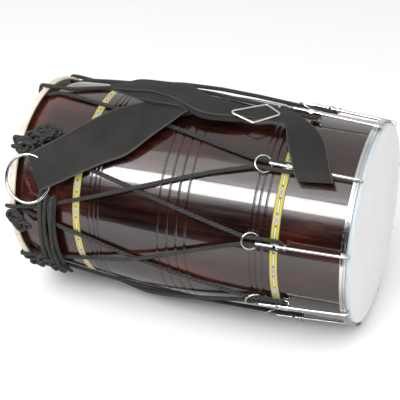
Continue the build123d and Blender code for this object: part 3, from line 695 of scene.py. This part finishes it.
def through(stations, pieces):
    """A smooth run through rows of numbers: each span is the cubic that leaves and meets its two
    rows along the chord between their neighbours."""
    rows = np.asarray(stations, dtype=float)
    padded = np.vstack([2 * rows[:1] - rows[1:2], rows, 2 * rows[-1:] - rows[-2:-1]])
    out = []
    for before, start, end, after in zip(padded, padded[1:], padded[2:], padded[3:]):
        for t in np.arange(pieces) / pieces:
            pull = (end - before) / 2, (after - start) / 2
            out.append(
                start * (1 + 2 * t) * (1 - t) ** 2
                + pull[0] * t * (1 - t) ** 2
                + end * t * t * (3 - 2 * t)
                - pull[1] * t * t * (1 - t)
            )
    out.append(rows[-1])
    return np.array(out)


def band(name, stations, thick, pieces=10, columns=17, wave=0.0):
    """A cloth band between two edges given by pixels. u runs across it and v along it, in metres.

    Each point lies a share of the way from one edge to the other, lifted off the shell by a height
    that blends the edges' own and adds a gentle ripple of two sines.
    """
    edges = [[*seen_at(*first), *seen_at(*second)] for first, second in stations]
    rows = through(edges, pieces)
    share = np.linspace(0, 1, columns)
    first, second = rows[:, None, :3], rows[:, None, 3:]
    grid = first + (second - first) * share[None, :, None]
    along = np.arange(len(rows))[:, None]
    ripple = np.sin(along * 0.31 + share[None, :] * 5.0) + 0.6 * np.sin(along * 0.17 - share[None, :] * 9.0)
    crown = np.sin(share * math.pi)[None, :]
    height = grid[..., 2] + wave * ripple * (0.4 + 0.6 * crown)
    x = grid[..., 0] / 1000
    points = place(x, grid[..., 1], shell_radius(x) + height / 1000)
    middle = points[:, columns // 2]
    v = np.concatenate([[0], np.cumsum(np.linalg.norm(np.diff(middle, axis=0), axis=1))])
    wide = np.linalg.norm(np.diff(points, axis=1), axis=2).sum(axis=1).mean()
    uv = grid_uv(len(rows), columns, v, share * wide)[:, ::-1]
    obj = make_mesh(name, points.reshape(-1, 3), grid_faces(len(rows), columns), uv)
    solid = obj.modifiers.new("thickness", "SOLIDIFY")
    solid.thickness = thick
    solid.offset = 0.0
    soft = obj.modifiers.new("smooth", "SUBSURF")
    soft.levels = soft.render_levels = 1
    return obj, v[-1], wide


# How much paler the strap's edges are painted, as a highlight.
EDGE_HIGHLIGHT_SHARE = 3.2
strap, strap_length, strap_width = band("strap_band", STRAP_PIXELS, STRAP_THICK, wave=0.35)


def webbing(name, tone, wide):
    """Soft twill: fine slanting ribs from the UVs, worn patches, and edges painted paler as a highlight. wide
    in metres.
    """
    m = Nodes(name, tone, 0.8, sheen=0.05)
    m.set("Sheen Roughness", 0.4)
    m.set("Specular IOR Level", 0.2)
    uv = m.axes(m.coords("UV"))
    rib = m.math("SINE", m.math("MULTIPLY", m.math("ADD", uv[0], uv[1]), 2 * math.pi / 0.0011))
    yarn = m.math("SINE", m.math("MULTIPLY", m.math("SUBTRACT", uv[0], uv[1]), 2 * math.pi / 0.0007))
    cloth = m.math("ADD", rib, m.math("MULTIPLY", yarn, 0.5))
    at = m.coords()
    wear = m.noise(at, 18.0, 5.0, 0.6)
    lint = m.noise(at, 700.0, 3.0)
    shade = m.math("ADD", m.math("MULTIPLY", wear, 0.9), m.math("MULTIPLY", lint, 0.18))
    low, high = tuple(c * 0.6 for c in tone), tuple(c * 1.5 for c in tone)
    # Painted highlight: the band's edges are painted paler than its middle, as if catching the light.
    centred = m.math("ABSOLUTE", m.math("SUBTRACT", uv[0], wide / 2))
    edge_highlight = m.span(centred, wide / 2 - 0.0030, wide / 2 - 0.0008, 0.0, 1.0)
    cotton = m.ramp(shade, [(0.32, low), (0.55, tone), (0.8, high)])
    m.link(m.mix(edge_highlight, cotton, tuple(c * EDGE_HIGHLIGHT_SHARE for c in tone)), "Base Color")
    slow = m.noise(m.stretched(at, (24, 24, 24)), 1.0, 2.0)
    m.bump(m.math("ADD", m.math("MULTIPLY", cloth, 0.12), m.math("MULTIPLY", slow, 2.2)), 0.0009, 0.7)
    return m.material


twill = webbing("strap_twill", (0.0175, 0.017, 0.0155), strap_width)
strap.data.materials.append(twill)
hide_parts("shoulder_strap")
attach(strap, "drum")
strap_under, under_length, under_width = band("strap_under", UNDER_PIXELS, STRAP_THICK, wave=0.25)
strap_under.data.materials.append(twill)
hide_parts("shoulder_strap")
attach(strap_under, "drum")

# The slide: one closed loop of plated wire, bent to an oblong with rounded corners. It lies on the
# strap where the strap runs through it, at corners read from the photograph.
BUCKLE_PIXELS = [(229.3, 111.6), (267, 104.8), (281, 114.5), (253.5, 122.8)]
BUCKLE_LIFT, BUCKLE_WIRE_R = 21.2, 0.0019
buckle_line = []
for px, py in BUCKLE_PIXELS:
    x, angle, lift = seen_at(px, py, BUCKLE_LIFT)
    buckle_line.append(over_shell(x / 1000, angle, lift / 1000))
buckle_path = even(rounded(buckle_line, 0.004, closed=True), 0.0015, closed=True)
buckle = tube("strap_slide", buckle_path, BUCKLE_WIRE_R, 16, closed=True)
buckle.data.materials.append(chrome)
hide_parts("strap_buckle")
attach(buckle, "drum")

# The spare rope: what is left of the lacing cord, laid to and fro round the bass end as an uneven
# bundle of runs in two layers, over the strands.
SPARE_LIFT, SPARE_LAYER, SPARE_RUNS = 0.0113, 0.0046, 7
SPARE_X, SPARE_STEP, SPARE_LEAN = -0.2290, 0.0050, -0.012
rng = np.random.default_rng(7)
spare_points = []
for run in range(SPARE_RUNS):
    layer = SPARE_LAYER * (run % 2)
    sway, phase = rng.uniform(0.0012, 0.0030), rng.uniform(0, 6.28)
    angles = np.linspace(74 + rng.uniform(-1, 4), 137 + rng.uniform(-5, 4), 15)
    if run % 2:
        angles = angles[::-1]
    for angle in angles:
        share = (angle - 72) / 68
        x = SPARE_X + SPARE_STEP * run + SPARE_LEAN * share + sway * math.sin(7 * share + phase)
        spare_points.append(over_shell(x, angle, SPARE_LIFT + layer + 0.0008 * math.sin(9 * share + phase)))
spare = tube("spare_rope_runs", even(rounded(spare_points, 0.06), 0.0025), ROPE_R, 12)
spare.data.materials.append(cord_black)
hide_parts("spare_rope_winding")
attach(spare, "drum")

# The hitches and knots: the spare rope's ends are hitched round the hide's hoop at three lace points
# and pulled into knots of the same black cord, which lie on the strands beside the rim.
HITCH_PAST, HITCH_SLACK, HITCH_RIGHT_X = 3.9, 0.0003, -0.2767
HITCH_ANGLES = [LUG_STEP * lace + LACE_TWIST + HITCH_PAST for lace in (1, 2, 3)]
HITCH_LEFT_X = WRAP_LEFT_X - HITCH_SLACK
for index, angle in enumerate(HITCH_ANGLES):
    corners = [
        place(HITCH_RIGHT_X, angle, OVER_R + HITCH_SLACK),
        place(HITCH_RIGHT_X, angle, UNDER_R - HITCH_SLACK),
        place(HITCH_LEFT_X, angle, UNDER_R - HITCH_SLACK),
        place(HITCH_LEFT_X, angle, OVER_R + HITCH_SLACK),
    ]
    turn_path = even(rounded(corners, 0.0063, closed=True), 0.0018, closed=True)
    hitch = tube(f"hitch_{index}", turn_path, ROPE_R, 14, closed=True)
    hitch.data.materials.append(cord_black)
    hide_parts("rope_hitches")
    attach(hitch, "drum")


def knot(name, middle, along, up, size, turns=(2, 3), stretch=1.0):
    """A pulled-in knot: rope on a torus knot, whose middle line winds round a ring while it
    circles the ring's own section, laid in the plane of two directions and drawn out along one."""
    along = np.asarray(along, dtype=float) / np.linalg.norm(along)
    up = np.asarray(up, dtype=float) / np.linalg.norm(up)
    side = np.cross(up, along)
    t = np.linspace(0, 2 * math.pi, 240, endpoint=False)
    reach = size * (1 + 0.42 * np.cos(turns[1] * t))
    a, b, c = reach * np.cos(turns[0] * t), reach * np.sin(turns[0] * t), size * 0.42 * np.sin(turns[1] * t)
    path = np.asarray(middle) + np.outer(a * stretch, along) + np.outer(b, side) + np.outer(c, up)
    obj = tube(name, even(path, 0.002, closed=True), ROPE_R * 0.92, 12, closed=True)
    obj.data.materials.append(cord_black)
    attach(obj, "drum")
    return obj


X_WAY = np.array([1.0, 0.0, 0.0])
KNOTS = [    # x, angle, height over the shell, size, and how far it is drawn out along X
    (-0.268, 51.5, 0.016, 0.0080, 1.5),
    (-0.254, 46.5, 0.017, 0.0080, 1.5),
    (-0.240, 43.0, 0.014, 0.0085, 1.4),
    (-0.226, 41.0, 0.016, 0.0075, 1.5),
    (-0.276, 91.5, 0.016, 0.0078, 1.4),
    (-0.264, 95.5, 0.017, 0.0078, 1.5),
    (-0.262, 131.0, 0.014, 0.0080, 1.5),
    (-0.236, 122.0, 0.017, 0.0080, 1.5),
    (-0.214, 128.0, 0.017, 0.0075, 1.4),
]
for index, (x, angle, lift, size, stretch) in enumerate(KNOTS):
    out = place(0.0, angle, 1.0) - place(0.0, angle, 0.0)
    knot(f"knot_{index}", over_shell(x, angle, lift), X_WAY, out, size, stretch=stretch)

# The studio: a seamless pale floor, a long strip light whose image runs down the lacquer, a broad panel over
# it, and cards that only reflections see: black cards in front that paint a dark reflection into the lacquer,
# and a glowing card on the floor that paints the lit floor's reflection, dimmed towards the drum as a painted
# shadow.
m = Nodes("studio_floor", (0.96, 0.96, 0.96), 0.6)
m.set("Specular IOR Level", 0.2)
m.bump(m.noise(m.coords(), 40.0, 2.0), 0.0002, 0.1)
floor = make_mesh("floor", [(-8, -8, 0), (8, -8, 0), (8, 8, 0), (-8, 8, 0)], [(0, 1, 2, 3)])
floor.data.materials.append(m.material)


def softbox(name, middle, target, size, glow):
    """A rectangular light that faces a target. glow is its radiance."""
    data = bpy.data.lights.new(name, "AREA")
    data.shape = "RECTANGLE"
    data.size, data.size_y = size
    data.energy = glow * math.pi * size[0] * size[1]
    light = bpy.data.objects.new(name, data)
    light.location = middle
    light.rotation_euler = (Vector(target) - Vector(middle)).to_track_quat("-Z", "Y").to_euler()
    light.visible_camera = False
    bpy.context.scene.collection.objects.link(light)
    return light


FRONT_Y, FRONT_Z = -0.1, 0.25    # the part of the barrel that faces the camera


def in_front(elevation, distance, x):
    """A place at this elevation in degrees and distance from the barrel's front."""
    tilt = math.radians(elevation)
    return (x, FRONT_Y - distance * math.cos(tilt), FRONT_Z + distance * math.sin(tilt))


strip = softbox("strip", in_front(35.5, 1.7, -0.65), (-0.65, FRONT_Y, FRONT_Z), (2.1, 0.46), 16)
strip.visible_diffuse = False
soft_key = softbox("soft_key", in_front(38, 1.7, -0.2), (-0.2, FRONT_Y, FRONT_Z), (2.1, 0.6), 5.4)
soft_key.visible_glossy = False
softbox("panel", in_front(57, 1.8, -0.5), (-0.5, FRONT_Y, FRONT_Z), (3.0, 0.75), 1.9)
softbox("head_light", (2.2, -0.9, 1.3), (0.3, 0, AXIS_Z), (1.4, 1.4), 1.3)

# Painted reflection: these black cards are seen only in reflections, where they darken the lacquer.
black = Nodes("black_card", (0.0, 0.0, 0.0), 1.0)
black.set("Specular IOR Level", 0.0)
glow = Nodes("glow_card", (0.0, 0.0, 0.0), 1.0)
glow.set("Emission Color", (1.0, 1.0, 1.0, 1.0))
side_way = glow.axes(glow.coords())[1]
# Painted shadow: the glowing card's strength falls from 1.9 far in front to 0.45 towards the drum, standing
# in for the drum's shade on the floor.
glow.link(glow.span(side_way, -0.6, -0.12, 1.9, 0.45), "Emission Strength")
CARD_TOP, CARD_Y, CARD_NEAR_Y, CARD_Z = 0.74, -1.45, -0.62, 0.002
CARD_LEFT, CARD_RIGHT, CARD_FAR_Y = -4, 3, 2


def flat_card(near_y, far_y):
    """Corners of a card that lies on the floor, between two places in Y."""
    return [(x, y, CARD_Z) for x, y in (
        (CARD_LEFT, near_y), (CARD_RIGHT, near_y), (CARD_RIGHT, far_y), (CARD_LEFT, far_y)
    )]


cards = {
    "upright_card": [
        (CARD_LEFT, CARD_Y, CARD_Z), (CARD_RIGHT, CARD_Y, CARD_Z),
        (CARD_RIGHT, CARD_Y, CARD_TOP), (CARD_LEFT, CARD_Y, CARD_TOP),
    ],
    "floor_card": flat_card(CARD_Y, CARD_NEAR_Y),
    "bright_card": flat_card(CARD_NEAR_Y, CARD_FAR_Y),
}
for name, corners in cards.items():
    card = make_mesh(name, corners, [(0, 1, 2, 3)])
    card.data.materials.append(glow.material if name == "bright_card" else black.material)
    card.visible_camera = card.visible_diffuse = card.visible_shadow = card.visible_transmission = False

world = bpy.data.worlds.new("studio")
bpy.context.scene.world = world
world.use_nodes = True
world.node_tree.nodes["Background"].inputs[0].default_value = (1.0, 1.0, 1.0, 1.0)
world.node_tree.nodes["Background"].inputs[1].default_value = 0.84
bpy.context.scene.view_settings.view_transform = "Standard"

# The camera, placed and turned by a fit to points measured in the photograph. Its values stand with
# the strap, which is the first piece that uses them.
camera_data = bpy.data.cameras.new("camera")
camera_data.lens, camera_data.sensor_width = LENS, SENSOR
camera = bpy.data.objects.new("camera", camera_data)
turn = Matrix((CAMERA_RIGHT, CAMERA_UP, CAMERA_BACK)).transposed()
camera.matrix_world = Matrix.Translation(CAMERA_PLACE) @ turn.to_4x4()
bpy.context.scene.collection.objects.link(camera)
bpy.context.scene.camera = camera
